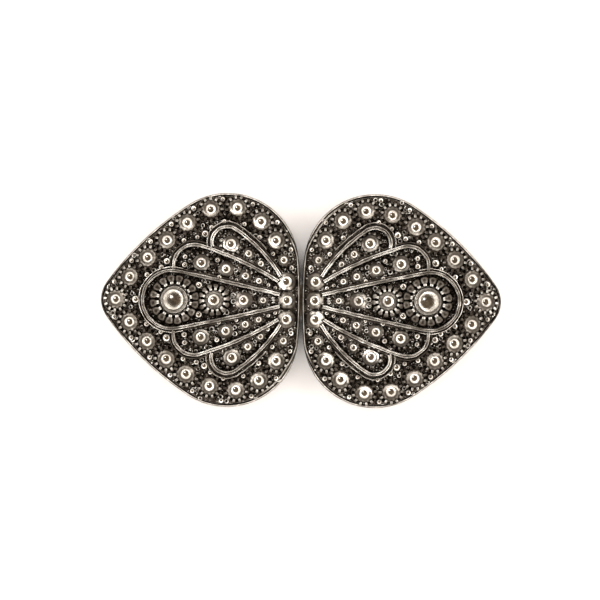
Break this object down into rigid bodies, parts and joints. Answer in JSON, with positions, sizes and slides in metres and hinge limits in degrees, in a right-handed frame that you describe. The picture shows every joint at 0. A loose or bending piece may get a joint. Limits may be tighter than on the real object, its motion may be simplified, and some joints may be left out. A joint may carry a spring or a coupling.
{
  "type": "apron clasp",
  "caption": "Closed apron clasp: domed leaf-shaped cast halves with beaded relief, hooked together behind the joint and sewn on through lugs at the back.",
  "frame": {"origin": "centre of the clasp, on the surface that the back edges of its halves rest on", "axes": "+X along the waist from the half with the hook to the half with the eye, +Y up the body, +Z out of the face"},
  "size_m": [0.064, 0.0342, 0.0072],
  "materials": {
    "cast_metal": "antiqued silver-coloured casting, blackened in the recesses and polished on the high places",
    "steel": "plain nickel-plated strip steel, satin"
  },
  "bodies": {
    "root": {"left_half": "cast_metal", "right_half": "cast_metal", "hook": "steel", "eye": "steel"}
  },
  "joints": []
}
